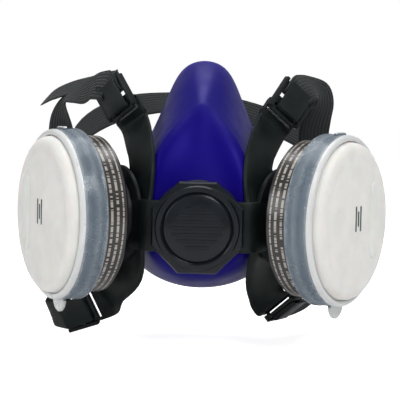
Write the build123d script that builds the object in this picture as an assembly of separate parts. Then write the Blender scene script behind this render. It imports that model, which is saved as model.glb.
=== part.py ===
"""Half-face respirator: elastomer facepiece, black harness yoke, exhalation valve,
two screw-on cartridges with clip-fit prefilter retainers, and an elastic head harness.

Millimetres. +X is to the right of someone who faces the mask, -Y is the way the mask
faces, +Z is up. The origin is the centre of the face-seal plane.
"""
import os
from math import cos, radians, sin

from build123d import *

# Driving dimensions ---------------------------------------------------------
WALL = 2.5                 # elastomer wall
SEAL_LIP = 9.0             # width of the inturned face-seal lip
SEAL_LIP_THICK = 1.6
FRONT_Y = -64.0            # outer face of the facepiece's front panel
GAP = 0.35                 # clearance between neighbouring pieces

VALVE_Z = -26.0            # height of the exhalation valve's axis
VALVE_HOLE_R = 17.0
COVER_FLATS = 46.0         # octagonal valve cover, across its flats
COVER_FRONT_Y = -76.0
COVER_WALL = 2.0
COVER_RING_R = 21.0
COVER_DISC_R = 17.0

CART_ANGLE = 60.0          # cartridge axis, degrees away from straight ahead
RIM_X = 76.0               # centre of the retainer's front rim
RIM_Y = -60.0
RIM_Z = -22.0
RETAINER_R = 43.5
RETAINER_WALL = 1.4
RETAINER_DEPTH = 14.0
PAD_R = 41.7
PAD_DOME_R = 40.0
PAD_DOME_RISE = 4.6
TAB_R = 7.5                # half-round thumb tab on the retainer
CART_R = 40.0
CART_FRONT = -4.8          # distances along the cartridge axis, from the rim plane
CART_BACK = -27.0
CART_WALL = 1.5
NECK_R = 13.6
PORT_OUTER = -41.0         # the facepiece boss, outer and inner face
PORT_INNER = -46.0
PORT_HOLE_R = 14.4
YOKE_THICK = 2.4

WEB_WIDTH = 17.0
WEB_THICK = 1.4
WEB_STEPS = 3              # lofted sections for each station of a strap
ARM_WIDTH = 22.0
SLOT_WIDTH = 18.6
SLOT_LENGTH = 4.6
BAR_R = 1.1
BUCKLE_WIDTH = 22.0
BUCKLE_LENGTH = 18.0
BUCKLE_PLATE = 2.0
BUCKLE_LIFT = 2.7          # underside of the buckle plate above the bar's axis

SIDES = {"left": -1, "right": 1}


# Shapes used by several pieces ----------------------------------------------
def disc(radius, low, high):
    """A round slab between two heights on the local Z axis."""
    return Pos(0, 0, low) * extrude(Circle(radius), high - low)


def ring(outer, inner, low, high):
    """A round slab with a round hole."""
    return disc(outer, low, high) - disc(inner, low - 1, high + 1)


def block(x_size, y_low, y_high, z_low, z_high):
    """A box centred on X between two Y and two Z limits."""
    size = Box(x_size, y_high - y_low, z_high - z_low, align=(Align.CENTER, Align.MIN, Align.MIN))
    return Pos(0, y_low, z_low) * size


def between(before, start, end, after, share):
    """A point or direction on the smooth curve from start to end (Catmull-Rom)."""
    curve = start * 2 + (end - before) * share
    curve = curve + (before * 2 - start * 5 + end * 4 - after) * share ** 2
    curve = curve + (start * 3 - before - end * 3 + after) * share ** 3
    return curve * 0.5


def smoothed(values, steps):
    """The list of vectors with steps - 1 more between each two."""
    ends = [values[0]] + values + [values[-1]]
    result = []
    for index in range(len(values) - 1):
        for step in range(steps):
            result.append(between(*ends[index:index + 4], step / steps))
    return result + [values[-1]]


def ribbon(stations, width, thickness, steps=1):
    """A flat strap through stations (place, across direction), as a ruled loft."""
    points = smoothed([Vector(*place) for place, _ in stations], steps)
    levels = smoothed([Vector(*across).normalized() for _, across in stations], steps)
    sections = []
    for index, level in enumerate(levels):
        before = points[max(index - 1, 0)]
        after = points[min(index + 1, len(points) - 1)]
        tangent = (after - before).normalized()
        level = (level - tangent * level.dot(tangent)).normalized()
        plane = Plane(origin=points[index], x_dir=level, z_dir=tangent)
        sections.append(plane * Rectangle(width, thickness))
    return loft(sections, ruled=True)


def save(name, shape):
    """One STEP file per piece."""
    export_step(shape, f"parts/{name}.step")


# Frames ----------------------------------------------------------------------
def cartridge_frame(side):
    """Local Z runs out along the cartridge axis, local Y is up, zero is the rim plane."""
    turn = radians(CART_ANGLE)
    axis = Vector(side * sin(turn), -cos(turn), 0)
    level = Vector(cos(turn), side * sin(turn), 0)
    return Plane(origin=(side * RIM_X, RIM_Y, RIM_Z), x_dir=level, z_dir=axis)


VALVE_FRAME = Plane(origin=(0, 0, VALVE_Z), x_dir=(1, 0, 0), z_dir=(0, -1, 0))

# Each harness arm ends in a slot. place is the axis of the buckle's bar in that slot,
# along is the way the buckle points and across the way the slot runs.
ARM_ENDS = {
    "upper_left": ((-40.3, -27, 31.6), (-0.50, 0.18, 0.85), (0.72, -0.60, 0.33)),
    "upper_right": ((40.7, -27, 31), (0.50, 0.32, 0.80), (0.76, 0.48, -0.43)),
    "lower_left": ((-58, -25.5, -72.5), (-0.88, 0.30, -0.33), (0.25, 0.25, -0.93)),
    "lower_right": ((42, -24, -69.5), (0.40, 0.90, -0.05), (0.70, -0.25, 0.65)),
}


def buckle_frame(corner):
    """Local X runs across the slot, local Y along the buckle, local Z out of its face."""
    place, along, across = ARM_ENDS[corner]
    along = Vector(*along).normalized()
    level = Vector(*across)
    level = (level - along * level.dot(along)).normalized()
    face = level.cross(along)
    if face.Y > 0:
        level = level * -1
        face = face * -1
    return Plane(origin=place, x_dir=level, z_dir=face)


# Facepiece --------------------------------------------------------------------
# Right half of each outline, nose to chin, at its distance from the seal plane.
FACE_OUTLINES = [
    (0.0, [(11.5, 60.5), (27.5, 15), (46.5, -14), (45.5, -46), (34, -60), (16, -65)]),
    (-22.0, [(11, 58.5), (26.5, 13), (43, -14), (41.5, -45), (32, -58.5), (15, -63.5)]),
    (-48.0, [(8.5, 40), (24, 10), (33.5, -12), (31.5, -43), (26, -52), (12, -56.5)]),
    (FRONT_Y, [(9.5, 14), (18, 5), (25, -8), (25, -40), (20, -47), (10, -50.5)]),
]
FACE_CORNER_R = 6.0


def face_outline(half, depth, inset):
    """A closed outline in a plane parallel to the seal plane."""
    right = list(half)
    left = [(-x, z) for x, z in reversed(half)]
    face = make_face(Polyline(*right, *left, close=True))
    face = fillet(face.vertices(), FACE_CORNER_R)
    if inset:
        face = offset(face, -inset)
    return Plane(origin=(0, depth, 0), x_dir=(1, 0, 0), z_dir=(0, -1, 0)) * face


def face_volume(inset, reach_back):
    """The space inside the outlines, moved in by inset from the sides and the front."""
    sections = [face_outline(half, depth, inset) for depth, half in FACE_OUTLINES]
    if inset > 0:
        sections[-1] = Pos(0, inset, 0) * sections[-1]
    body = loft(sections, ruled=True)
    if reach_back:
        body = body + extrude(sections[0], -reach_back)
    return body


def facepiece():
    """Thin elastomer cup with a lip turned in round the face, and three port bosses."""
    shell = face_volume(0, 0) - face_volume(WALL, 1)
    rim = FACE_OUTLINES[0][1]
    lip = extrude(face_outline(rim, -SEAL_LIP_THICK, 0.5), -SEAL_LIP_THICK)
    lip = lip - extrude(face_outline(rim, -SEAL_LIP_THICK - 1, SEAL_LIP), -SEAL_LIP_THICK - 2)
    shell = shell + lip
    for side in SIDES.values():
        frame = cartridge_frame(side)
        shell = shell + frame * disc(22.5, PORT_INNER - 5, PORT_OUTER)
        shell = shell - frame * disc(19.5, PORT_INNER - 14, PORT_INNER)
        shell = shell - frame * disc(24.5, PORT_OUTER, PORT_OUTER + 12)
        shell = shell - frame * disc(PORT_HOLE_R, PORT_INNER - 6, PORT_OUTER + 1)
    shell = shell - VALVE_FRAME * disc(VALVE_HOLE_R, 40, 70)
    return shell


# Exhalation valve ---------------------------------------------------------------
SEAT_LIP_Y = 68.4          # distance of the valve seat's sealing edge from the seal plane
FLAP_THICK = 0.8
FLAP_R = 14.2
HUB_HOLE_R = 1.8


def exhale_valve_seat():
    """Round plastic seat clamped in the front panel, with a spider that holds the flap."""
    inner_face = -FRONT_Y - WALL - GAP
    seat = ring(VALVE_HOLE_R - GAP, 13.0, inner_face - 1, SEAT_LIP_Y)
    seat = seat + ring(20.5, 13.0, inner_face - 2, inner_face)
    hub = disc(4.0, SEAT_LIP_Y - 3.5, SEAT_LIP_Y - 0.4)
    for index in range(6):
        spoke = Rot(0, 0, 60 * index) * (Pos(8.5, 0, SEAT_LIP_Y - 2.6) * Box(11, 1.6, 2))
        hub = hub + spoke
    return seat + hub - disc(HUB_HOLE_R, SEAT_LIP_Y - 6, SEAT_LIP_Y + 1)


def exhale_valve_flap():
    """Mushroom flap: a thin disc in front of the seat, with a stem through its hub."""
    base = SEAT_LIP_Y + GAP
    flap = disc(FLAP_R, base, base + FLAP_THICK) + disc(1.4, base - 6.5, base + 0.1)
    return flap + disc(2.6, base - 8.0, base - 6.4)


def valve_cover():
    """Octagonal cap with a raised ring, a sunk disc and air slots in its lower sides."""
    base = -FRONT_Y + YOKE_THICK + 2 * GAP
    front = -COVER_FRONT_Y
    corner_r = COVER_FLATS / 2 / cos(radians(22.5))
    octagon = Rot(0, 0, 22.5) * extrude(RegularPolygon(corner_r, 8), front - 1.6 - base)
    cap = Pos(0, 0, base) * octagon
    cap = cap + ring(COVER_RING_R, COVER_DISC_R, front - 2.0, front)
    cap = cap + disc(COVER_DISC_R + 0.5, front - 2.0, front - 0.9)
    inside = COVER_FLATS / 2 - COVER_WALL
    cap = cap - disc(inside, base - 1, front - 1.6 - COVER_WALL)
    for index in range(-2, 3):
        slot = Rot(0, 0, 90 + 36 * index) * Pos(0, COVER_FLATS / 2, base + 2)
        cap = cap - slot * Box(6, 8, 4.2)
    return cap


# Harness yoke ---------------------------------------------------------------------
def arm_stations():
    """Centre line of each harness arm, from the port ring to its slotted end."""
    return {
        "upper_left": [((-31, -54, -14), (-0.5, 0.84, -0.1)), ((-29.5, -52.5, 0), (-0.56, 0.80, -0.15)),
                       ((-31.5, -43.5, 13), (-0.64, 0.70, -0.25))],
        "upper_right": [((31, -54, -14), (0.5, 0.84, -0.1)), ((29.5, -52.5, 0), (0.56, 0.80, -0.15)),
                        ((31.5, -43.5, 13), (0.66, 0.68, -0.3))],
        "lower_left": [((-35, -51, -32), (0.5, -0.84, -0.2)), ((-36.5, -44, -50), (0.62, -0.6, -0.5)),
                       ((-46, -35.5, -62.5), (0.60, -0.25, -0.78))],
        "lower_right": [((35, -51, -32), (0.5, 0.84, 0.2)), ((32.5, -44, -49.5), (0.6, 0.6, 0.45)),
                        ((35, -36.5, -62.5), (0.68, 0.15, 0.62))],
    }


def harness_arm(corner):
    """One arm of the yoke: a strip that ends in a flat, slotted plate."""
    frame = buckle_frame(corner)
    neck = frame.from_local_coords(Vector(0, -9.5, 0))
    across = tuple(frame.x_dir)
    stations = arm_stations()[corner]
    first = Vector(*stations[0][1])
    if first.dot(frame.x_dir) < 0:
        stations = [(place, tuple(Vector(*level) * -1)) for place, level in stations]
    stations = stations + [(tuple(neck), across)]
    strip = ribbon(stations, ARM_WIDTH - 2, YOKE_THICK)
    plate = block(ARM_WIDTH, -11, 5.2, -YOKE_THICK / 2, YOKE_THICK / 2)
    plate = fillet(plate.edges().filter_by(Axis.Z), 2.5)
    slot = block(SLOT_WIDTH, 1.8 - SLOT_LENGTH, 1.8, -3, 3)
    return strip + frame * plate, frame * slot


def harness_yoke():
    """Black moulded yoke: a valve ring, two port rings and four slotted arms."""
    low = -FRONT_Y + GAP
    yoke = VALVE_FRAME * ring(23.5, VALVE_HOLE_R + GAP, low, low + YOKE_THICK)
    keep_out = face_volume(-GAP, 0)
    slots = []
    for side in SIDES.values():
        frame = cartridge_frame(side)
        low = PORT_OUTER + GAP
        port = frame * ring(23.5, PORT_HOLE_R + GAP, low, low + YOKE_THICK)
        bridge = ribbon([((side * 19, FRONT_Y - 1.6, VALVE_Z), (0, 0, 1)),
                         ((side * 26.5, FRONT_Y - 1.3, VALVE_Z), (0, 0, 1)),
                         ((side * 31, -59.5, VALVE_Z), (0, 0, 1)),
                         ((side * 35.5, -51.2, VALVE_Z), (0, 0, 1))], 26, YOKE_THICK)
        yoke = yoke + port + bridge
    for corner in ARM_ENDS:
        arm, slot = harness_arm(corner)
        yoke = yoke + arm
        slots.append(slot)
    yoke = yoke - keep_out
    for side in SIDES.values():
        frame = cartridge_frame(side)
        yoke = yoke - frame * disc(22.5 + GAP, PORT_INNER - 8, PORT_OUTER + GAP)
        yoke = yoke - frame * disc(PORT_HOLE_R + GAP, PORT_INNER, PORT_OUTER + 22)
        yoke = yoke - frame * disc(21.0, PORT_OUTER + GAP + YOKE_THICK, PORT_OUTER + 22)
    yoke = yoke - VALVE_FRAME * disc(VALVE_HOLE_R + GAP, 40, 80)
    yoke = yoke - VALVE_FRAME * disc(24.5, -FRONT_Y + GAP + YOKE_THICK, 80)
    for slot in slots:
        yoke = yoke - slot
    return max(yoke.solids(), key=lambda solid: solid.volume)


# Side pieces, in the cartridge frame -------------------------------------------------
def inhale_connector():
    """Threaded tube through the port, with a flange and a flap spider inside the mask."""
    flange_low = PORT_INNER - GAP - 2
    body = ring(PORT_HOLE_R - GAP, 11.5, flange_low, -29.5)
    body = body + ring(18.8, 11.5, flange_low, PORT_INNER - GAP)
    hub = disc(3.4, flange_low, flange_low + 2)
    for index in range(4):
        hub = hub + Rot(0, 0, 45 + 90 * index) * (Pos(7.5, 0, flange_low + 1) * Box(9, 1.6, 2))
    return body + hub - disc(HUB_HOLE_R, flange_low - 1, flange_low + 4)


def connector_nut():
    """Knurled ring nut that clamps the yoke and the facepiece to the connector."""
    low = PORT_OUTER + 2 * GAP + YOKE_THICK
    nut = ring(18.6, PORT_HOLE_R - 0.2, low, low + 3.6)
    for index in range(12):
        nut = nut - Rot(0, 0, 30 * index) * (Pos(19.4, 0, low + 1.8) * Box(2, 2.4, 6))
    return nut


def inhale_valve_flap():
    """Thin inhalation flap on the mask side of the connector's spider."""
    top = PORT_INNER - 2 * GAP - 2
    flap = disc(12.6, top - FLAP_THICK, top) + disc(1.4, top - 0.1, top + 5.5)
    return flap + disc(2.6, top + 5.4, top + 6.6)


def cartridge_body():
    """Black cup with a stepped rim and a threaded neck that takes the connector's tube."""
    cup = disc(CART_R, CART_BACK, CART_FRONT) + disc(CART_R + 1.2, CART_FRONT - 5.5, CART_FRONT)
    cup = cup - disc(CART_R - CART_WALL, CART_BACK + 2, CART_FRONT + 1)
    cup = cup + ring(20.5, NECK_R + 0.5, CART_BACK - 3.4, CART_BACK + 0.1)
    cup = cup - ring(NECK_R + 5.2, NECK_R + 0.4, CART_BACK - 4, CART_BACK - 1.2)
    return cup - disc(NECK_R + 0.9, CART_BACK - 1.5, CART_BACK + 3)


def cartridge_gasket():
    """Flat rubber ring in the groove round the neck."""
    return ring(NECK_R + 4.8, NECK_R + 1.4, CART_BACK - 3.2, CART_BACK - 1.6)


def cartridge_grille():
    """Perforated front plate of the cartridge."""
    plate = disc(CART_R - CART_WALL - GAP, CART_FRONT - 2.4, CART_FRONT - 0.6)
    for count, radius in ((6, 10.0), (12, 20.0), (18, 30.0)):
        for index in range(count):
            plate = plate - Rot(0, 0, 360 / count * index) * (Pos(radius, 0, 0) * disc(3, -9, 0))
    return plate


def front_screen():
    """Thin dust screen under the grille."""
    return disc(CART_R - CART_WALL - GAP, CART_FRONT - 3.3, CART_FRONT - 2.7)


def sorbent_bed():
    """Packed charcoal bed, as one slab."""
    return disc(CART_R - CART_WALL - GAP, CART_BACK + 4.2, CART_FRONT - 3.6)


def rear_screen():
    """Thin dust screen behind the bed."""
    return disc(CART_R - CART_WALL - GAP, CART_BACK + 3.3, CART_BACK + 3.9)


def cartridge_label():
    """Printed band wrapped round the cartridge wall."""
    return ring(CART_R + 0.45, CART_R + 0.1, CART_BACK + 1.5, CART_FRONT - 6.2)


def prefilter_pad():
    """Moulded felt disc whose middle stands out through the retainer's ring."""
    rim = disc(PAD_R, CART_FRONT + GAP, -1.9)
    dome = loft([Pos(0, 0, -2) * Circle(PAD_DOME_R),
                 Pos(0, 0, PAD_DOME_RISE - 1.6) * Circle(PAD_DOME_R - 0.6),
                 Pos(0, 0, PAD_DOME_RISE) * Circle(PAD_DOME_R - 3.2)], ruled=True)
    return rim + dome - disc(PAD_DOME_R - 5, CART_FRONT, 1.0)


def filter_retainer():
    """Clear clip-fit ring: a wall round the cartridge, a front lip, a thumb tab and a lift nib."""
    outer = fillet(disc(RETAINER_R, -RETAINER_DEPTH, 0).edges().group_by(Axis.Z)[-1], 1.4)
    body = outer - disc(RETAINER_R - RETAINER_WALL, -RETAINER_DEPTH - 1, -1.5)
    body = body - disc(PAD_DOME_R + 0.6, -3, 1)
    tab = Pos(0, -RETAINER_R + 1, -7) * extrude(Circle(TAB_R), 1.8)
    body = body + (tab - disc(RETAINER_R - 0.5, -9, -4))
    body = body + Pos(0, RETAINER_R + 0.2, -6.1) * Box(12, 2.4, 1.8)
    return body


SIDE_PIECES = {
    "inhale_connector": inhale_connector,
    "connector_nut": connector_nut,
    "inhale_valve_flap": inhale_valve_flap,
    "cartridge_gasket": cartridge_gasket,
    "cartridge_body": cartridge_body,
    "cartridge_grille": cartridge_grille,
    "front_screen": front_screen,
    "sorbent_bed": sorbent_bed,
    "rear_screen": rear_screen,
    "cartridge_label": cartridge_label,
    "prefilter_pad": prefilter_pad,
    "filter_retainer": filter_retainer,
}


# Harness: buckles and webbing ---------------------------------------------------------
def buckle():
    """Slide buckle: a bar in the arm's slot, two posts, and a plate with a webbing slot."""
    plate = block(BUCKLE_WIDTH, -2.0, BUCKLE_LENGTH - 2, BUCKLE_LIFT, BUCKLE_LIFT + BUCKLE_PLATE)
    plate = fillet(plate.edges().filter_by(Axis.Z), 1.5)
    plate = plate - block(WEB_WIDTH + 1.0, 6.5, 11.0, 0, 8)
    bar = Rot(0, 90, 0) * Cylinder(BAR_R, SLOT_WIDTH - 1.0)
    for side in (-1, 1):
        post = block(1.6, -BAR_R, BAR_R, 0, BUCKLE_LIFT + 0.1)
        bar = bar + Pos(side * (SLOT_WIDTH / 2 - 1.3), 0, 0) * post
    return plate + bar


def strap_end():
    """Webbing doubled round the buckle's outer bar: main strap on top, short tail below."""
    top = BUCKLE_LIFT + BUCKLE_PLATE + GAP
    low = BUCKLE_LIFT - GAP - WEB_THICK
    upper = block(WEB_WIDTH, 8.8, 15.0, top, top + WEB_THICK)
    turn = block(WEB_WIDTH, 8.8, 10.2, low, top + WEB_THICK)
    tail = block(WEB_WIDTH, 8.8, 17.0, low, low + WEB_THICK)
    return upper + turn + tail


STRAP_LEVEL = BUCKLE_LIFT + BUCKLE_PLATE + GAP + WEB_THICK / 2
STRAP_START = 19.5         # where the running webbing begins, beyond the buckle's bar


def strap_start(corner):
    """Station of the running webbing where it leaves a buckle."""
    frame = buckle_frame(corner)
    return [(tuple(frame.from_local_coords(Vector(0, STRAP_START, STRAP_LEVEL))), tuple(frame.x_dir))]


def head_strap():
    """Upper webbing: over a soft fold, down behind each cartridge, across behind the mask."""
    middle = [
        ((-58.5, -20, 46), (0.30, 0.35, 0.85)),
        ((-64.1, -15, 42.8), (0.12, 0.62, 0.78)),
        ((-70.9, -13, 40.6), (0.1, 0.85, 0.45)),
        ((-75.6, -12, 37), (-0.2, 0.97, 0.15)),
        ((-77.8, -10, 30), (-0.6, 0.8, 0)),
        ((-78.5, -7, 21), (-0.85, 0.5, 0.1)),
        ((-78, -2, 8), (-0.95, 0.3, 0.1)),
        ((-73, 8, -10), (-0.85, 0.1, -0.5)),
        ((-63, 24, -24), (-0.4, 0.1, -0.9)),
        ((-42, 37, -32), (-0.1, 0.1, -1)),
        ((-15, 45, -36), (0, 0, -1)),
        ((15, 45, -36), (0, 0, -1)),
        ((41, 37, -32), (0.1, 0.1, -1)),
        ((58, 25, -24), (0.4, 0.1, -0.9)),
        ((66, 12, -10), (0.8, 0.2, -0.5)),
        ((63, 3, 5), (0.9, 0.3, -0.2)),
        ((60.5, -3.5, 19), (0.98, 0.2, 0)),
        ((61.5, -6.5, 28.6), (0.95, 0.3, 0)),
        ((64.5, -9, 37.4), (0.72, 0.65, 0.15)),
        ((63, -13.5, 44.8), (0.4, 0.8, 0.42)),
        ((57.5, -19.5, 48.3), (-0.35, 0.55, 0.75)),
    ]
    stations = strap_start("upper_left") + middle + strap_start("upper_right")
    return ribbon(aligned(stations), WEB_WIDTH, WEB_THICK, WEB_STEPS)


def neck_strap():
    """Lower webbing: up behind each cartridge and across behind the nose of the mask."""
    middle = [
        ((-81, -18, -80), (0.2, 0.55, -0.8)),
        ((-81.5, -8, -76), (0.2, 0.7, -0.7)),
        ((-84, 3, -68), (0.2, 0.77, -0.6)),
        ((-88, 18, -48), (0.1, 0.95, -0.3)),
        ((-87, 26, -24), (0, 1, -0.2)),
        ((-82, 30, 2), (-0.1, 1, 0)),
        ((-69, 34, 22), (-0.5, 0.65, 0.5)),
        ((-47, 37, 33.5), (-0.3, 0.6, 0.75)),
        ((-20, 39, 37.5), (0, 0.75, 0.66)),
        ((8, 39, 36), (0.1, 0.7, 0.7)),
        ((36, 38, 28), (0.25, 0.6, 0.75)),
        ((60, 36, 16), (0.5, 0.65, 0.55)),
        ((77, 31, 0), (0.3, 0.95, 0)),
        ((84, 27, -22), (0.1, 1, -0.1)),
        ((84, 22, -46), (0.1, 0.95, -0.3)),
        ((76, 14, -62), (-0.2, 0.9, -0.35)),
        ((65, 6, -71), (-0.5, 0.5, -0.6)),
        ((57.5, -0.5, -74.5), (-0.6, 0.35, -0.62)),
    ]
    stations = strap_start("lower_left") + middle + strap_start("lower_right")
    return ribbon(aligned(stations), WEB_WIDTH, WEB_THICK, WEB_STEPS)


def aligned(stations):
    """Keep each station's across direction on the same side as the one before."""
    kept = [stations[0]]
    for place, across in stations[1:]:
        level = Vector(*across)
        if level.dot(Vector(*kept[-1][1])) < 0:
            level = level * -1
        kept.append((place, tuple(level)))
    return kept


# Build -----------------------------------------------------------------------------------
def main():
    os.makedirs("parts", exist_ok=True)
    save("facepiece", facepiece())
    save("harness_yoke", harness_yoke())
    save("exhale_valve_seat", VALVE_FRAME * exhale_valve_seat())
    save("exhale_valve_flap", VALVE_FRAME * exhale_valve_flap())
    save("valve_cover", VALVE_FRAME * valve_cover())
    for name, piece in SIDE_PIECES.items():
        shape = piece()
        for side_name, side in SIDES.items():
            save(f"{side_name}_{name}", cartridge_frame(side) * shape)
    for corner in ARM_ENDS:
        save(f"{corner}_buckle", buckle_frame(corner) * buckle())
        save(f"{corner}_strap_end", buckle_frame(corner) * strap_end())
    save("head_strap", head_strap())
    save("neck_strap", neck_strap())


main()
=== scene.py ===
"""Half-face respirator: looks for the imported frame, piece by piece as it is put together."""
from math import atan2, cos, pi, radians, sin

import bmesh
import bpy
from mathutils import Matrix, Vector


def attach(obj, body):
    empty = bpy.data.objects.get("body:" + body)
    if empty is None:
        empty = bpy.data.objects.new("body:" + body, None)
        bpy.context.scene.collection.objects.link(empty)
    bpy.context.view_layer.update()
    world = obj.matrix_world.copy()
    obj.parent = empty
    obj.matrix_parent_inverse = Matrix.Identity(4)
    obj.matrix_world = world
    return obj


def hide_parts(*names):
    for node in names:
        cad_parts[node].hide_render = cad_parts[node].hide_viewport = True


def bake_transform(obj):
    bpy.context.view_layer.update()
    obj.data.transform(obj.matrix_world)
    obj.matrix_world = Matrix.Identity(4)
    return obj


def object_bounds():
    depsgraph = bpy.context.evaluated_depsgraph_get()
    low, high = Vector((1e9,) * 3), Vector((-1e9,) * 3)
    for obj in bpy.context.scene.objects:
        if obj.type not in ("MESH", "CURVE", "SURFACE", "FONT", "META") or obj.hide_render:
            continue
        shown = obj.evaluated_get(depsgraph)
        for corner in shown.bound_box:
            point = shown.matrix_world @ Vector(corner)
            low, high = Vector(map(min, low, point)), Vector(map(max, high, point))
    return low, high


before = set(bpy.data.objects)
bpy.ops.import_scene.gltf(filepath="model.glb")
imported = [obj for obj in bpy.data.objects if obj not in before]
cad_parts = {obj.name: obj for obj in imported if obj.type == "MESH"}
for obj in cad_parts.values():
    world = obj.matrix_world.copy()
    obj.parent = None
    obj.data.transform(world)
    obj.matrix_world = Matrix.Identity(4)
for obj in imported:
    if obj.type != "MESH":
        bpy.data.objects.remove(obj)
cad_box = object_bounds()
MM = 0.001


# Camera, floor and light ----------------------------------------------------------
# A plain white studio: the camera looks at the front of the mask from a little above
# and to the right of straight ahead, with one large lamp over its right shoulder.
def look_from(place, target, roll):
    """The turn that points a camera's -Z from place to target."""
    turn = (Vector(target) - Vector(place)).to_track_quat("-Z", "Y").to_matrix().to_4x4()
    return Matrix.Translation(Vector(place)) @ turn @ Matrix.Rotation(roll, 4, "Z")


CAMERA_TARGET = (0.0001, -0.045, -0.014)
CAMERA_DISTANCE = 0.62
CAMERA_AZIMUTH = radians(2.0)
CAMERA_ELEVATION = radians(4.0)
camera_data = bpy.data.cameras.new("camera")
camera_data.lens = 107.5
camera_data.sensor_width = 36
camera_data.clip_start = 0.01
camera = bpy.data.objects.new("camera", camera_data)
bpy.context.scene.collection.objects.link(camera)
bpy.context.scene.camera = camera
camera_place = Vector(CAMERA_TARGET) + CAMERA_DISTANCE * Vector((
    sin(CAMERA_AZIMUTH) * cos(CAMERA_ELEVATION),
    -cos(CAMERA_AZIMUTH) * cos(CAMERA_ELEVATION),
    sin(CAMERA_ELEVATION)))
camera.matrix_world = look_from(camera_place, CAMERA_TARGET, radians(1.2))

bpy.ops.object.select_all(action="DESELECT")
bpy.ops.mesh.primitive_plane_add(size=6, location=(0, 0, cad_box[0][2] - 0.002))
floor = bpy.context.object
floor.name = "studio_floor"
floor_material = bpy.data.materials.new("studio_white")
floor_material.use_nodes = True
floor_tree = floor_material.node_tree
floor_shader = floor_tree.nodes["Principled BSDF"]
floor_shader.inputs["Base Color"].default_value = (0.93, 0.93, 0.93, 1)
floor_shader.inputs["Roughness"].default_value = 0.8
floor_shader.inputs["Emission Color"].default_value = (1, 1, 1, 1)
floor_seen = floor_tree.nodes.new("ShaderNodeLightPath")
floor_glow = floor_tree.nodes.new("ShaderNodeMapRange")
floor_glow.inputs["To Max"].default_value = 0.8
floor_tree.links.new(floor_seen.outputs["Is Camera Ray"], floor_glow.inputs["Value"])
floor_tree.links.new(floor_glow.outputs["Result"], floor_shader.inputs["Emission Strength"])
floor.data.materials.append(floor_material)

world = bpy.data.worlds.new("studio")
world.use_nodes = True
studio = world.node_tree
backdrop = studio.nodes["Background"]
seen = studio.nodes.new("ShaderNodeLightPath")
strength = studio.nodes.new("ShaderNodeMapRange")
strength.inputs["To Min"].default_value = 0.36
strength.inputs["To Max"].default_value = 1.0
studio.links.new(seen.outputs["Is Camera Ray"], strength.inputs["Value"])
studio.links.new(strength.outputs["Result"], backdrop.inputs["Strength"])
backdrop.inputs["Color"].default_value = (1, 1, 1, 1)
bpy.context.scene.world = world


def lamp(name, place, target, size, power):
    """A square soft lamp."""
    light = bpy.data.lights.new(name, "AREA")
    light.size = size
    light.energy = power
    lamp_object = bpy.data.objects.new(name, light)
    lamp_object.matrix_world = look_from(place, target, 0)
    bpy.context.scene.collection.objects.link(lamp_object)


lamp("key_lamp", (0.35, -0.75, 0.75), (0, -0.04, 0), 0.4, 5.6)
lamp("left_lamp", (-0.8, -0.55, 0.35), (0, -0.04, 0), 0.5, 2.2)
lamp("top_lamp", (0.0, 0.15, 0.9), (0, -0.02, 0), 0.6, 4.0)
bpy.context.scene.view_settings.view_transform = "Standard"


# Facepiece ------------------------------------------------------------------------
# One dark blue elastomer moulding: a thin cup with a face-seal lip turned in round its
# back, a raised front panel with a ridge down each side, and a port in each cheek.
def activate(piece):
    """Makes one piece the only one selected."""
    bpy.ops.object.select_all(action="DESELECT")
    bpy.context.view_layer.objects.active = piece
    piece.select_set(True)


def skin(name, rings, closed=False, capped=False):
    """A skin extruded from ring to ring; every ring is a closed loop of points in mm."""
    bpy.ops.object.select_all(action="DESELECT")
    bpy.ops.mesh.primitive_circle_add(vertices=len(rings[0]), radius=MM)
    piece = bpy.context.object
    piece.name = name
    bpy.ops.object.mode_set(mode="EDIT")
    shape = bmesh.from_edit_mesh(piece.data)
    shape.verts.ensure_lookup_table()
    loop = list(shape.verts)
    for vertex, point in zip(loop, rings[0]):
        vertex.co = Vector(point) * MM
    for ring in rings[1:] + (rings[:1] if closed else []):
        bpy.ops.mesh.extrude_region()
        shape = bmesh.from_edit_mesh(piece.data)
        shape.verts.ensure_lookup_table()
        follow = {}
        for edge in shape.edges:
            first, second = edge.verts
            if first.select != second.select:
                old, new = (second, first) if first.select else (first, second)
                follow[old.index] = new
        loop = [follow[vertex.index] for vertex in loop]
        for vertex, point in zip(loop, ring):
            vertex.co = Vector(point) * MM
        shape.verts.index_update()
    bmesh.update_edit_mesh(piece.data)
    if capped:
        bpy.ops.mesh.select_all(action="DESELECT")
        bpy.ops.mesh.select_non_manifold()
        bpy.ops.mesh.edge_face_add()
        bpy.ops.mesh.select_all(action="DESELECT")
        bpy.ops.mesh.select_non_manifold()
        bpy.ops.mesh.fill_holes(sides=0)
    bpy.ops.mesh.select_all(action="SELECT")
    if closed:
        bpy.ops.mesh.remove_doubles(threshold=1e-7)
    bpy.ops.mesh.normals_make_consistent(inside=False)
    bpy.ops.object.mode_set(mode="OBJECT")
    return piece


def modifier(piece, kind, **settings):
    """Adds a modifier and applies it."""
    activate(piece)
    added = piece.modifiers.new(kind.lower(), kind)
    for key, value in settings.items():
        setattr(added, key, value)
    bpy.ops.object.modifier_apply(modifier=added.name)


def smooth(piece, angle=35):
    """Smooth shading with edges sharper than angle kept."""
    activate(piece)
    bpy.ops.object.shade_smooth_by_angle(angle=radians(angle))


def circle(radius, height, steps=64, centre=(0, 0)):
    """A ring of points round the local Z axis."""
    turns = [2 * pi * step / steps for step in range(steps)]
    return [(centre[0] + radius * cos(turn), centre[1] + radius * sin(turn), height) for turn in turns]


def turned(name, profile, steps=96, place=None):
    """A closed profile of (radius, height) pairs turned round the local Z axis."""
    piece = skin(name, [circle(radius, height, steps) for radius, height in profile], closed=True)
    if place is not None:
        piece.data.transform(place)
    return piece


def joined(name, parts):
    """Several meshes as one piece."""
    activate(parts[0])
    for part in parts[1:]:
        part.select_set(True)
    bpy.ops.object.join()
    parts[0].name = name
    return parts[0]


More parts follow.
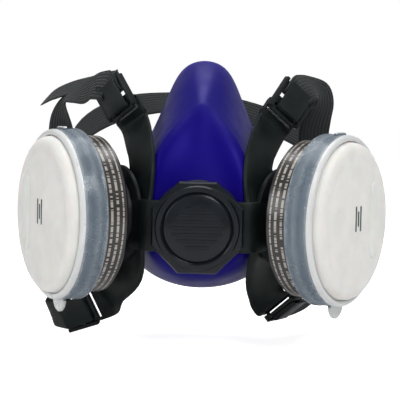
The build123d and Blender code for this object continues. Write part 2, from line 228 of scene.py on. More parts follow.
def cut(piece, cutter, operation="DIFFERENCE"):
    """Cuts piece with cutter, or adds it, and removes the cutter."""
    modifier(piece, "BOOLEAN", object=cutter, operation=operation, solver="EXACT")
    bpy.data.objects.remove(cutter)


def cartridge_place(side):
    """Local Z out along the cartridge's axis, local Y up, zero at the retainer's rim."""
    turn = radians(60)
    out = Vector((side * sin(turn), -cos(turn), 0))
    level = Vector((cos(turn), side * sin(turn), 0))
    up = Vector((0, 0, 1))
    place = Matrix((level, up, out)).transposed().to_4x4()
    place.translation = Vector((side * 76, -60, -22)) * MM
    return place


# Half outlines from the nose to the chin, (x, y, z) in mm, from the lip to the valve hole.
face_rings = [
    [(0, -1.2, 49), (8, -1.2, 46.5), (14.5, -1.2, 33), (21.5, -1.2, 13), (34.5, -1.2, -10),
     (36.5, -1.2, -27), (33, -1.2, -41), (19, -1.2, -52), (0, -1.2, -55)],
    [(0, -0.6, 58.5), (11.5, -0.6, 55), (18.5, -0.6, 39), (26.5, -0.6, 18.5), (41.5, -0.6, -8.5),
     (44, -0.6, -27.5), (40.5, -0.6, -46), (22.5, -0.6, -58.5), (0, -0.6, -62.5)],
    [(0, -1.6, 61.6), (13.4, -1.6, 57.5), (20.4, -1.6, 40.5), (28.6, -1.6, 19.5), (44.5, -1.6, -8),
     (46.6, -1.6, -28), (43, -1.6, -48), (24, -1.6, -61.3), (0, -1.6, -65.6)],
    [(0, -8, 61.2), (13.2, -8, 56), (20.4, -8, 39), (29.0, -8, 18), (43.2, -8, -8),
     (45.2, -8, -28), (41.8, -8, -47.6), (23.6, -8, -61.2), (0, -8, -65.6)],
    [(0, -24, 53), (11.0, -22, 48), (18.4, -25, 33.5), (27.6, -28, 14.5), (38.4, -29, -8),
     (40.2, -29, -28), (38.4, -29, -46.6), (22.2, -30, -59.8), (0, -30, -64)],
    [(0, -38, 41.5), (6.2, -37.5, 37.6), (14.8, -42, 27.8), (23.8, -47, 14.2), (31, -48, -6),
     (32.6, -48, -26), (31, -47, -44.4), (18.5, -47, -55.6), (0, -47, -59)],
    [(0, -42.5, 37.4), (5.0, -43, 33.4), (13.4, -49, 24.4), (22.8, -55, 12), (26.8, -60, -4.5),
     (27, -61, -25), (25.4, -60, -42.5), (15.2, -58.5, -52), (0, -58.5, -54.6)],
    [(0, -47, 31), (4.2, -48, 28), (11.6, -53.4, 20.6), (20.2, -59.4, 9.4), (23.4, -63.2, -5),
     (23.8, -64, -25.5), (21.6, -63.6, -40.8), (12.6, -62.8, -48.2), (0, -62.8, -50)],
    [(0, -58, 9), (6.4, -58.6, 8), (12.4, -60.2, 4.8), (17.8, -62.6, -3.4), (21.6, -63.8, -14.5),
     (22.2, -64, -27.5), (18.8, -64, -39.6), (11, -63.6, -46.2), (0, -63.6, -47.6)],
]
VALVE_CENTRE_Z = -26.0
VALVE_HOLE_Y = -63.9
for hole_radius in (19.6, 17.2):
    turns = [pi * step / 8 for step in range(9)]
    face_rings.append([(hole_radius * sin(turn), VALVE_HOLE_Y, VALVE_CENTRE_Z + hole_radius * cos(turn))
                       for turn in turns])


def whole_ring(half):
    """A half outline and its mirror image, as one closed loop."""
    return half + [(-x, y, z) for x, y, z in half[-2:0:-1]]


facepiece = skin("facepiece_moulding", [whole_ring(half) for half in face_rings])
RIDGE_RINGS = {5: 0.45, 6: 0.6}
RING_POINTS = 16
activate(facepiece)
crease = facepiece.data.attributes.new("crease_edge", "FLOAT", "EDGE")
for edge in facepiece.data.edges:
    first, second = sorted(edge.vertices)
    ring = first // RING_POINTS
    if ring == second // RING_POINTS and ring in RIDGE_RINGS:
        height = facepiece.data.vertices[first].co.z
        crease.data[edge.index].value = RIDGE_RINGS[ring] if height > -0.012 else 0.15
modifier(facepiece, "SUBSURF", levels=3, render_levels=3)
modifier(facepiece, "SOLIDIFY", thickness=2.2 * MM, offset=-1, use_even_offset=False)


def port_cutter(name, radius, low, high, side):
    """A plain disc on a port's axis, for cutting and joining."""
    profile = [circle(radius, low, 64), circle(radius, high, 64)]
    piece = skin(name, profile, capped=True)
    piece.data.transform(cartridge_place(side))
    return piece


for side in (-1, 1):
    cut(facepiece, port_cutter("boss", 22.4, -51, -41.1, side), "UNION")
    cut(facepiece, port_cutter("pocket", 19.4, -62, -46, side))
    cut(facepiece, port_cutter("flat", 25.5, -41.1, -30, side))
    cut(facepiece, port_cutter("port", 14.3, -52, -38, side))
smooth(facepiece, 40)


def material(name, colour, roughness, **constants):
    """A Principled material, with its node tree and its shader."""
    made = bpy.data.materials.new(name)
    made.use_nodes = True
    made.diffuse_color = (*colour, 1)
    tree = made.node_tree
    shader = tree.nodes["Principled BSDF"]
    shader.inputs["Base Color"].default_value = (*colour, 1)
    shader.inputs["Roughness"].default_value = roughness
    for key, value in constants.items():
        shader.inputs[key.replace("_", " ")].default_value = value
    return made, tree, shader


def moulded_group():
    """Fine moulded grain: a roughness that wanders, a height for a bump, and a soft mottle."""
    group = bpy.data.node_groups.new("moulded_grain", "ShaderNodeTree")
    face = group.interface
    face.new_socket("Position", in_out="INPUT", socket_type="NodeSocketVector")
    face.new_socket("Grain Scale", in_out="INPUT", socket_type="NodeSocketFloat").default_value = 2200
    face.new_socket("Low", in_out="INPUT", socket_type="NodeSocketFloat").default_value = 0.35
    face.new_socket("High", in_out="INPUT", socket_type="NodeSocketFloat").default_value = 0.5
    face.new_socket("Roughness", in_out="OUTPUT", socket_type="NodeSocketFloat")
    face.new_socket("Height", in_out="OUTPUT", socket_type="NodeSocketFloat")
    face.new_socket("Mottle", in_out="OUTPUT", socket_type="NodeSocketFloat")
    enter = group.nodes.new("NodeGroupInput")
    leave = group.nodes.new("NodeGroupOutput")
    grain = group.nodes.new("ShaderNodeTexNoise")
    grain.inputs["Detail"].default_value = 3
    group.links.new(enter.outputs["Position"], grain.inputs["Vector"])
    group.links.new(enter.outputs["Grain Scale"], grain.inputs["Scale"])
    mottle = group.nodes.new("ShaderNodeTexNoise")
    mottle.inputs["Scale"].default_value = 90
    mottle.inputs["Detail"].default_value = 4
    group.links.new(enter.outputs["Position"], mottle.inputs["Vector"])
    spread = group.nodes.new("ShaderNodeMapRange")
    group.links.new(mottle.outputs["Fac"], spread.inputs["Value"])
    spread.inputs["From Min"].default_value = 0.3
    spread.inputs["From Max"].default_value = 0.7
    group.links.new(enter.outputs["Low"], spread.inputs["To Min"])
    group.links.new(enter.outputs["High"], spread.inputs["To Max"])
    group.links.new(spread.outputs["Result"], leave.inputs["Roughness"])
    group.links.new(grain.outputs["Fac"], leave.inputs["Height"])
    group.links.new(mottle.outputs["Fac"], leave.inputs["Mottle"])
    return group


MOULDED = moulded_group()


def moulded(made, tree, shader, low, high, bump, scale=2200.0):
    """Puts the moulded grain in a material and returns the group's node."""
    coordinates = tree.nodes.new("ShaderNodeTexCoord")
    grain = tree.nodes.new("ShaderNodeGroup")
    grain.node_tree = MOULDED
    grain.inputs["Grain Scale"].default_value = scale
    grain.inputs["Low"].default_value = low
    grain.inputs["High"].default_value = high
    tree.links.new(coordinates.outputs["Object"], grain.inputs["Position"])
    tree.links.new(grain.outputs["Roughness"], shader.inputs["Roughness"])
    height = tree.nodes.new("ShaderNodeBump")
    height.inputs["Strength"].default_value = bump
    height.inputs["Distance"].default_value = 0.0002
    tree.links.new(grain.outputs["Height"], height.inputs["Height"])
    tree.links.new(height.outputs["Normal"], shader.inputs["Normal"])
    return grain


def ramp(tree, stops):
    """A colour ramp with (position, colour) stops."""
    node = tree.nodes.new("ShaderNodeValToRGB")
    while len(node.color_ramp.elements) < len(stops):
        node.color_ramp.elements.new(0.5)
    for element, (position, colour) in zip(node.color_ramp.elements, stops):
        element.position = position
        element.color = (*colour, 1)
    return node


elastomer, tree, shader = material(
    "blue_elastomer", (0.003, 0.0005, 0.15), 0.36, Specular_Tint=(0.16, 0.12, 0.85, 1),
    Specular_IOR_Level=0.45)
moulded(elastomer, tree, shader, 0.34, 0.46, 0.12)
coordinates = tree.nodes.new("ShaderNodeTexCoord")
axes = tree.nodes.new("ShaderNodeSeparateXYZ")
tree.links.new(coordinates.outputs["Object"], axes.inputs["Vector"])
# Base colour runs from deep blue in the snout to paler lavender towards the seal lip at the back (local Y
# near zero): painted sheen of the grazing edges.
painted_edge_sheen = tree.nodes.new("ShaderNodeMapRange")
painted_edge_sheen.inputs["From Min"].default_value = -0.014
painted_edge_sheen.inputs["From Max"].default_value = -0.001
tree.links.new(axes.outputs["Y"], painted_edge_sheen.inputs["Value"])
blues = ramp(tree, [(0.0, (0.003, 0.0004, 0.14)), (0.45, (0.005, 0.001, 0.17)),
                    (0.8, (0.030, 0.026, 0.24)), (1.0, (0.12, 0.12, 0.33))])
tree.links.new(painted_edge_sheen.outputs["Result"], blues.inputs["Fac"])
tree.links.new(blues.outputs["Color"], shader.inputs["Base Color"])
facepiece.data.materials.append(elastomer)
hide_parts("facepiece")
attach(facepiece, "root")


# Harness yoke ---------------------------------------------------------------------
# One black nylon moulding, clamped under the valve cover and the two port nuts: flat
# rings, two bridges, and four bendy arms that each end in a slotted plate.
def between(before, start, end, after, share):
    """A point on the smooth curve from start to end (Catmull-Rom)."""
    curve = start * 2 + (end - before) * share
    curve = curve + (before * 2 - start * 5 + end * 4 - after) * share ** 2
    curve = curve + (start * 3 - before - end * 3 + after) * share ** 3
    return curve * 0.5


def smoothed(values, steps):
    """The list of vectors with steps - 1 more between each two."""
    ends = [values[0]] + values + [values[-1]]
    result = []
    for index in range(len(values) - 1):
        for step in range(steps):
            result.append(between(*ends[index:index + 4], step / steps))
    return result + [values[-1]]


def ribbon_rings(stations, profile, steps):
    """Rings of the profile's points, (across, thickness) pairs, along the stations."""
    points = smoothed([Vector(place) for place, _ in stations], steps)
    levels = smoothed([Vector(across).normalized() for _, across in stations], steps)
    rings = []
    for index, level in enumerate(levels):
        before = points[max(index - 1, 0)]
        after = points[min(index + 1, len(points) - 1)]
        tangent = (after - before).normalized()
        level = (level - tangent * level.dot(tangent)).normalized()
        normal = tangent.cross(level)
        rings.append([tuple(points[index] + level * u + normal * v) for u, v in profile])
    return rings


def strip_profile(width, thickness, edge):
    """A flat strip's section with rounded edges."""
    half, side = width / 2, thickness / 2
    corner = [(half - edge, side), (half - 0.3 * edge, 0.7 * side), (half, 0.0),
              (half - 0.3 * edge, -0.7 * side), (half - edge, -side)]
    flat = [(0.5 * half, -side), (0, -side), (-0.5 * half, -side)]
    mirrored = [(-u, -v) for u, v in corner]
    return corner + flat + mirrored + [(-u, -v) for u, v in flat]


ARM_ENDS = {
    "upper_left": ((-40.3, -27, 31.6), (-0.50, 0.18, 0.85), (0.72, -0.60, 0.33)),
    "upper_right": ((40.7, -27, 31), (0.50, 0.32, 0.80), (0.76, 0.48, -0.43)),
    "lower_left": ((-58, -25.5, -72.5), (-0.88, 0.30, -0.33), (0.25, 0.25, -0.93)),
    "lower_right": ((42, -24, -69.5), (0.40, 0.90, -0.05), (0.70, -0.25, 0.65)),
}


def buckle_place(corner):
    """Local X across the slot, local Y along the buckle, local Z out of its face, in mm."""
    place, along, across = ARM_ENDS[corner]
    along = Vector(along).normalized()
    level = Vector(across)
    level = (level - along * level.dot(along)).normalized()
    face = level.cross(along)
    if face.y > 0:
        level, face = -level, -face
    matrix = Matrix((level, along, face)).transposed().to_4x4()
    matrix.translation = Vector(place)
    return matrix


def metres(matrix):
    """The same place, for a mesh in metres."""
    result = matrix.copy()
    result.translation = matrix.translation * MM
    return result


ARM_ROOTS = {
    "upper_left": [((-31, -54, -14), (-0.5, 0.84, -0.1)), ((-29.5, -52.5, 0), (-0.56, 0.80, -0.15)),
                   ((-31.5, -43.5, 13), (-0.64, 0.70, -0.25))],
    "upper_right": [((31, -54, -14), (0.5, 0.84, -0.1)), ((29.5, -52.5, 0), (0.56, 0.80, -0.15)),
                    ((31.5, -43.5, 13), (0.66, 0.68, -0.3))],
    "lower_left": [((-35, -51, -32), (0.5, -0.84, -0.2)), ((-36.5, -44, -50), (0.62, -0.6, -0.5)),
                   ((-46, -35.5, -62.5), (0.60, -0.25, -0.78))],
    "lower_right": [((35, -51, -32), (0.5, 0.84, 0.2)), ((32.5, -44, -49.5), (0.6, 0.6, 0.45)),
                    ((35, -36.5, -62.5), (0.68, 0.15, 0.62))],
}


ARM_WIDTH = 22.0
ARM_THICK = 2.4
SLOT_WIDTH = 18.6


def arm(corner):
    """One arm, from the port ring to the rounded end beyond its slot."""
    place = buckle_place(corner)
    across = place.to_3x3() @ Vector((1, 0, 0))
    stations = ARM_ROOTS[corner]
    if Vector(stations[0][1]).dot(across) < 0:
        stations = [(point, tuple(-Vector(level))) for point, level in stations]
    for along in (-9.0, -3.0, 2.2):
        stations = stations + [(tuple(place @ Vector((0, along, 0))), tuple(across))]
    rings = ribbon_rings(stations, strip_profile(ARM_WIDTH, ARM_THICK, 0.8), 6)
    for index, ring in enumerate(rings):
        share = index / (len(rings) - 1)
        wide = 1 + 0.3 * max(0.0, 1 - share / 0.4) - 0.12 * sin(pi * min(share / 0.75, 1.0))
        middle = sum((Vector(point) for point in ring), Vector()) / len(ring)
        rings[index] = [tuple(middle.lerp(Vector(point), wide)) for point in ring]
    tip = [(0.97, 3.6), (0.88, 4.6), (0.80, 5.0)]
    for narrow, along in tip:
        section = strip_profile(ARM_WIDTH * narrow, ARM_THICK * (0.9 if along < 5 else 0.5), 0.8)
        rings.append([tuple(place @ Vector((u, along, v))) for u, v in section])
    made = skin("arm_" + corner, rings, capped=True)
    bpy.ops.mesh.primitive_cube_add(size=1)
    cutter = bpy.context.object
    cutter.data.transform(Matrix.Diagonal((SLOT_WIDTH * MM, 4.6 * MM, 8 * MM, 1)))
    cutter.data.transform(Matrix.Translation((0, -0.5 * MM, 0)))
    cutter.data.transform(metres(place))
    cut(made, cutter)
    return made


yoke_parts = [arm(corner) for corner in ARM_ENDS]
BRIDGE_STATIONS = ((19, -65.7), (26.5, -65.4), (31, -59.6), (35.4, -51.4))
for side in (-1, 1):
    low = -40.65
    ring_profile = [(14.8, low), (14.8, low + 2.0), (15.2, low + 2.4), (24.7, low + 2.4), (25.2, low + 1.9),
                    (25.2, low + 0.4), (24.8, low)]
    yoke_parts.append(turned("port_ring", ring_profile, 96, cartridge_place(side)))
    bridge = [((side * across, forward, VALVE_CENTRE_Z), (0, 0, 1)) for across, forward in BRIDGE_STATIONS]
    yoke_parts.append(skin("bridge", ribbon_rings(bridge, strip_profile(26, 2.4, 1.0), 5), capped=True))
valve_place = Matrix(((1, 0, 0), (0, 0, 1), (0, -1, 0))).transposed().to_4x4()
valve_place.translation = Vector((0, 0, VALVE_CENTRE_Z)) * MM
VALVE_RING_PROFILE = [(17.5, 64.4), (17.5, 66.7), (23.0, 66.7), (23.5, 66.2), (23.5, 64.4)]
yoke_parts.append(turned("valve_ring", VALVE_RING_PROFILE, 96, valve_place))
yoke = joined("harness_yoke_moulding", yoke_parts)
smooth(yoke, 40)
nylon, tree, shader = material("black_nylon", (0.006, 0.010, 0.011), 0.42, Specular_IOR_Level=0.2)
grain = moulded(nylon, tree, shader, 0.36, 0.5, 0.25, 1500.0)
shades = ramp(tree, [(0.35, (0.005, 0.008, 0.008)), (0.7, (0.011, 0.016, 0.0155))])
tree.links.new(grain.outputs["Mottle"], shades.inputs["Fac"])
tree.links.new(shades.outputs["Color"], shader.inputs["Base Color"])
yoke.data.materials.append(nylon)
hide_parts("harness_yoke")
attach(yoke, "root")


# Exhalation valve and its cover ------------------------------------------------------
# The seat and flap stay as designed. The cover is a moulded octagonal cap with a raised
# ring, a groove, a sunk disc with plain moulded bars, and air slots in its lower sides.
COVER_FLATS = 46.0
COVER_BACK = 67.2
COVER_SHOULDER = 74.4
COVER_FRONT = 76.0


def octagon(flats, height, steps=8):
    """Points along an octagon with flat top and bottom, steps to each side."""
    corner = flats / 2 / cos(pi / 8)
    turns = [pi / 8 + pi / 4 * k for k in range(9)]
    corners = [Vector((corner * cos(turn), corner * sin(turn), height)) for turn in turns]
    points = []
    for first, second in zip(corners, corners[1:]):
        points += [tuple(first.lerp(second, step / steps)) for step in range(steps)]
    return points


def toward_circle(radius, height, steps=64):
    """A circle whose points line up with the octagon's, starting at its first corner."""
    return [(radius * cos(pi / 8 + 2 * pi * k / steps), radius * sin(pi / 8 + 2 * pi * k / steps), height)
            for k in range(steps)]


cover_rings = [
    octagon(42.4, COVER_BACK + 4.6), octagon(42.4, COVER_BACK), octagon(45.4, COVER_BACK),
    octagon(COVER_FLATS, COVER_BACK + 0.5), octagon(COVER_FLATS, 72.4), octagon(45.6, 73.0),
    octagon(44.2, COVER_SHOULDER), toward_circle(21.6, COVER_SHOULDER + 0.1),
    toward_circle(21.2, COVER_SHOULDER + 0.25), toward_circle(21.0, COVER_FRONT - 0.5),
    toward_circle(20.5, COVER_FRONT), toward_circle(18.6, COVER_FRONT),
    toward_circle(18.1, COVER_FRONT - 0.4),
    toward_circle(17.9, COVER_FRONT - 1.5), toward_circle(17.5, COVER_FRONT - 1.75),
    toward_circle(16.9, COVER_FRONT - 1.5), toward_circle(16.6, COVER_FRONT - 0.75),
    toward_circle(16.1, COVER_FRONT - 0.45), toward_circle(11.0, COVER_FRONT - 0.4),
    toward_circle(5.0, COVER_FRONT - 0.4), toward_circle(1.0, COVER_FRONT - 0.4),
    toward_circle(1.0, COVER_FRONT - 2.4), toward_circle(20.2, COVER_FRONT - 2.9),
    toward_circle(20.6, COVER_BACK + 4.6),
]
cover = skin("valve_cover_moulding", cover_rings, closed=True)
plug = skin("plug", [circle(1.4, COVER_FRONT - 2.2, 24), circle(1.4, COVER_FRONT - 0.4, 24)], capped=True)
cut(cover, plug, "UNION")
for index in (-1, 0, 1):
    bpy.ops.object.select_all(action="DESELECT")
    bpy.ops.mesh.primitive_cube_add(size=1)
    slot_cutter = bpy.context.object
    slot_cutter.data.transform(Matrix.Diagonal((7 * MM, 9 * MM, 2.4 * MM, 1)))
    slot_cutter.data.transform(Matrix.Translation(Vector((0, -23, COVER_BACK + 2.2)) * MM))
    slot_cutter.data.transform(Matrix.Rotation(index * pi / 4, 4, "Z"))
    cut(cover, slot_cutter)


def pill(name, length, width, height, centre, turn=0.0):
    """A small raised bar with rounded ends and a softened top, flat on local Z."""
    def outline(inset, level):
        radius = width / 2 - inset
        reach = length / 2 - width / 2
        points = []
        for step in range(8):
            angle = -pi / 2 + pi * step / 7
            points.append((reach + radius * cos(angle), radius * sin(angle), level))
        return points + [(-x, -y, level) for x, y, level in points]
    rings = [outline(0, 0), outline(0, height * 0.6), outline(height * 0.3, height),
             outline(width * 0.36, height)]
    made = skin(name, rings, capped=True)
    made.data.transform(Matrix.Rotation(turn, 4, "Z"))
    made.data.transform(Matrix.Translation(Vector(centre) * MM))
    return made


BAR_LEVEL = COVER_FRONT - 0.45
BARS = ((12, 9.6), (20, 6.4), (25, 3.2), (27, 0), (25, -3.2), (20, -6.4), (12, -9.6))
bars = [pill("bar", length, 1.3, 0.45, (0, up, BAR_LEVEL)) for length, up in BARS]
cover = joined("valve_cover_moulding", [cover] + bars)
cover.data.transform(valve_place)
smooth(cover, 32)
satin_black, tree, shader = material("satin_black_cover", (0.003, 0.005, 0.009), 0.3, Coat_Weight=0.25,
                                     Coat_Roughness=0.12, Specular_IOR_Level=0.2)
grain = moulded(satin_black, tree, shader, 0.28, 0.42, 0.18, 1800.0)
shades = ramp(tree, [(0.35, (0.002, 0.004, 0.007)), (0.7, (0.004, 0.007, 0.011))])
tree.links.new(grain.outputs["Mottle"], shades.inputs["Fac"])
tree.links.new(shades.outputs["Color"], shader.inputs["Base Color"])
cover.data.materials.append(satin_black)
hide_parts("valve_cover")
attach(cover, "valve_cover")


def refinish(node, finish):
    """Gives a designed piece its material and keeps its shape."""
    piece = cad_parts[node]
    piece.data.materials.clear()
    piece.data.materials.append(finish)
    return piece


black_part, tree, shader = material("black_inner_plastic", (0.014, 0.015, 0.017), 0.4)
moulded(black_part, tree, shader, 0.34, 0.5, 0.15)
silicone, tree, shader = material("cream_silicone", (0.62, 0.56, 0.45), 0.45, Subsurface_Weight=0.3,
                                  Subsurface_Scale=0.002)
moulded(silicone, tree, shader, 0.4, 0.55, 0.08)
refinish("exhale_valve_seat", black_part)
refinish("exhale_valve_flap", silicone)


# Ports ------------------------------------------------------------------------------
# A threaded tube through each cheek, a knurled nut outside that clamps the yoke, a thin
# silicone flap inside the mask and a flat rubber gasket against the cartridge.
rubber, tree, shader = material("gasket_black_rubber", (0.02, 0.02, 0.021), 0.7)
moulded(rubber, tree, shader, 0.62, 0.78, 0.3)
for side_name in ("left", "right"):
    refinish(side_name + "_inhale_connector", black_part)
    refinish(side_name + "_connector_nut", black_part)
    refinish(side_name + "_inhale_valve_flap", silicone)
    refinish(side_name + "_cartridge_gasket", rubber)


# Cartridges -------------------------------------------------------------------------
# Each is a glossy black cup with a stepped rim, a printed film round its wall, and behind
# the perforated grille a charcoal bed between two scrims.
CUP_PROFILE = [
    (38.5, -5.4), (38.5, -24.6), (37.9, -25.2), (15.0, -25.2), (14.5, -25.6), (14.5, -28.1), (18.6, -28.1),
    (18.8, -28.6), (18.8, -30.1), (19.1, -30.4), (20.2, -30.4), (20.5, -30.0), (20.7, -28.6), (21.6, -27.6),
    (30.0, -27.2), (36.6, -27.0), (38.8, -26.6), (39.7, -25.6), (40.0, -24.2), (40.0, -12.0), (40.2, -10.6),
    (41.0, -10.3), (41.2, -10.0), (41.2, -5.1), (40.9, -4.8), (38.9, -4.8),
]
gloss_black, tree, shader = material("gloss_black_cup", (0.012, 0.013, 0.014), 0.18, Coat_Weight=0.4,
                                     Coat_Roughness=0.08)
moulded(gloss_black, tree, shader, 0.14, 0.26, 0.05)
LABEL_LOW, LABEL_HIGH = -25.2, -11.2
LABEL_COLUMNS = 192
film, tree, shader = material("printed_film", (0.03, 0.026, 0.022), 0.3, Coat_Weight=0.3,
                              Coat_Roughness=0.15)
wrap = tree.nodes.new("ShaderNodeUVMap")
wrap.uv_map = "wrap"
parts = tree.nodes.new("ShaderNodeSeparateXYZ")
tree.links.new(wrap.outputs["UV"], parts.inputs["Vector"])


def maths(tree, operation, first, second):
    """One Math node; each input is a socket or a number."""
    node = tree.nodes.new("ShaderNodeMath")
    node.operation = operation
    for socket, value in zip(node.inputs, (first, second)):
        if isinstance(value, bpy.types.NodeSocket):
            tree.links.new(value, socket)
        else:
            socket.default_value = value
    return node.outputs["Value"]


# Plain pale dashes in rows round the wall, of uneven length.
LABEL_ROWS = 4.4
ROW_HALF = 0.21
DASH_RATE = 260.0
row = maths(tree, "MULTIPLY", parts.outputs["Y"], LABEL_ROWS)
row_index = maths(tree, "FLOOR", row, 0.0)
row_share = maths(tree, "FRACT", row, 0.0)
from_row = maths(tree, "ABSOLUTE", maths(tree, "SUBTRACT", row_share, 0.5), 0.0)
in_row = maths(tree, "LESS_THAN", from_row, ROW_HALF)
margin = maths(tree, "MULTIPLY", maths(tree, "GREATER_THAN", parts.outputs["Y"], 0.10),
               maths(tree, "LESS_THAN", parts.outputs["Y"], 0.92))
dash_place = tree.nodes.new("ShaderNodeCombineXYZ")
tree.links.new(maths(tree, "MULTIPLY", parts.outputs["X"], DASH_RATE), dash_place.inputs["X"])
tree.links.new(maths(tree, "MULTIPLY", row_index, 17.3), dash_place.inputs["Y"])
dash_noise = tree.nodes.new("ShaderNodeTexNoise")
dash_noise.inputs["Scale"].default_value = 1.0
dash_noise.inputs["Detail"].default_value = 2.0
tree.links.new(dash_place.outputs["Vector"], dash_noise.inputs["Vector"])
dashes = maths(tree, "GREATER_THAN", dash_noise.outputs["Fac"], 0.46)
printed = maths(tree, "MULTIPLY", maths(tree, "MULTIPLY", in_row, margin), dashes)
ink = ramp(tree, [(0.0, (0.022, 0.019, 0.017)), (1.0, (0.40, 0.37, 0.34))])
tree.links.new(printed, ink.inputs["Fac"])
tree.links.new(ink.outputs["Color"], shader.inputs["Base Color"])

charcoal, tree, shader = material("charcoal_granules", (0.01, 0.01, 0.01), 0.8)
moulded(charcoal, tree, shader, 0.6, 0.9, 0.9, 900.0)
scrim, tree, shader = material("white_scrim", (0.75, 0.75, 0.72), 0.9)
moulded(scrim, tree, shader, 0.85, 0.95, 0.6, 3000.0)


def wrapped(piece, name, low, high):
    """A UV map round local Z: u is the turn round the wall, v the height on it in shares."""
    layer = piece.data.uv_layers.new(name=name)
    for polygon in piece.data.polygons:
        corners = [piece.data.vertices[index].co for index in polygon.vertices]
        turns = [atan2(corner.y, corner.x) / (2 * pi) + 0.5 for corner in corners]
        crosses = max(turns) - min(turns) > 0.5
        for loop, corner, turn in zip(polygon.loop_indices, corners, turns):
            if crosses and turn < 0.5:
                turn += 1
            layer.data[loop].uv = (turn, (corner.z / MM - low) / (high - low))


for side, side_name in ((-1, "left"), (1, "right")):
    place = cartridge_place(side)
    cup = turned(side_name + "_cartridge_cup", CUP_PROFILE, 128, place)
    smooth(cup, 30)
    cup.data.materials.append(gloss_black)
    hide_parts(side_name + "_cartridge_body")
    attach(cup, side_name + "_cartridge")

    label_profile = [(40.12, LABEL_LOW), (40.34, LABEL_LOW), (40.34, LABEL_HIGH), (40.12, LABEL_HIGH)]
    rings = [circle(radius, height, LABEL_COLUMNS) for radius, height in label_profile]
    label = skin(side_name + "_wall_label", rings, closed=True)
    wrapped(label, "wrap", LABEL_LOW, LABEL_HIGH)
    label.data.transform(place)
    smooth(label, 40)
    label.data.materials.append(film)
    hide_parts(side_name + "_cartridge_label")
    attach(label, side_name + "_cartridge")

    refinish(side_name + "_cartridge_grille", black_part)
    refinish(side_name + "_sorbent_bed", charcoal)
    refinish(side_name + "_front_screen", scrim)
    refinish(side_name + "_rear_screen", scrim)


# Prefilters and retainers --------------------------------------------------------------
# The pad is a white moulded felt shell whose domed middle stands out through the clear
# clip-fit retainer; its skirt shows through the retainer's frosted wall as a wavy edge.
felt, tree, shader = material("white_felt", (0.86, 0.86, 0.84), 0.75, Sheen_Weight=0.3, Sheen_Roughness=0.5,
                              Subsurface_Weight=0.25, Subsurface_Scale=0.003)
grain = moulded(felt, tree, shader, 0.62, 0.85, 0.35, 1300.0)
whites = ramp(tree, [(0.3, (0.72, 0.71, 0.68)), (0.7, (0.80, 0.79, 0.76))])
tree.links.new(grain.outputs["Mottle"], whites.inputs["Fac"])
tree.links.new(whites.outputs["Color"], shader.inputs["Base Color"])
frosted, tree, shader = material("frosted_clear", (0.50, 0.58, 0.66), 0.25,
                                 Transmission_Weight=0.7, IOR=1.3,
                                 Coat_Weight=0.1, Coat_Roughness=0.1, Specular_IOR_Level=0.35)
moulded(frosted, tree, shader, 0.18, 0.3, 0.02, 700.0)
wall_map = tree.nodes.new("ShaderNodeUVMap")
wall_map.uv_map = "wrap"
wall_axes = tree.nodes.new("ShaderNodeSeparateXYZ")
tree.links.new(wall_map.outputs["UV"], wall_axes.inputs["Vector"])
streak_place = tree.nodes.new("ShaderNodeCombineXYZ")
tree.links.new(maths(tree, "MULTIPLY", wall_axes.outputs["X"], 34.0), streak_place.inputs["X"])
tree.links.new(maths(tree, "MULTIPLY", wall_axes.outputs["Y"], 1.4), streak_place.inputs["Y"])
streaks = tree.nodes.new("ShaderNodeTexNoise")
streaks.inputs["Scale"].default_value = 1.0
streaks.inputs["Detail"].default_value = 4.0
tree.links.new(streak_place.outputs["Vector"], streaks.inputs["Vector"])
wander = maths(tree, "MULTIPLY", maths(tree, "SUBTRACT", streaks.outputs["Fac"], 0.5), 0.3)
# Light and dark bands up the clear wall, wobbled by the streak noise: painted reflections and painted
# highlights in the base colour.
painted_reflection_bands = ramp(tree, [(0.0, (0.62, 0.68, 0.72)), (0.13, (0.26, 0.33, 0.41)), (0.32, (0.50, 0.58, 0.65)),
                    (0.55, (0.30, 0.38, 0.47)), (0.72, (0.42, 0.50, 0.58)), (0.82, (0.70, 0.75, 0.79))])
tree.links.new(maths(tree, "ADD", wall_axes.outputs["Y"], wander), painted_reflection_bands.inputs["Fac"])
tree.links.new(painted_reflection_bands.outputs["Color"], shader.inputs["Base Color"])
clear_lip, tree, shader = material("clear_lip", (0.80, 0.81, 0.81), 0.3, Transmission_Weight=0.2, IOR=1.3,
                                   Coat_Weight=0.3, Coat_Roughness=0.08)
moulded(clear_lip, tree, shader, 0.26, 0.36, 0.02, 700.0)
grey_ink, tree, shader = material("grey_ink", (0.07, 0.07, 0.075), 0.6)
moulded(grey_ink, tree, shader, 0.5, 0.7, 0.1)
PAD_RINGS = [
    (30.0, 0.6), (34.0, -0.4), (36.0, -3.9), (41.0, -4.3), (41.55, -3.8), (41.6, -2.4), (41.1, -1.9),
    (40.2, -1.85), (39.95, -1.5), (39.9, -0.6), (39.7, 1.2), (38.9, 2.9), (37.5, 4.0), (35.4, 4.5),
    (33.8, 4.5),
    (32.6, 4.2), (31.6, 4.2), (30.4, 4.5), (22.0, 4.9), (12.0, 5.2), (4.0, 5.3), (0.6, 5.3), (0.6, 2.4),
    (15.0, 2.3), (28.0, 1.9),
]
SKIRT_WAVES = ((7, 0.5, 0.4), (11, 0.35, 1.9), (17, 0.2, 0.7))
TAB_R, TAB_CENTRE_Y = 7.5, -42.7
LIP_LOW, TAB_START_R = -2.9, 44.2
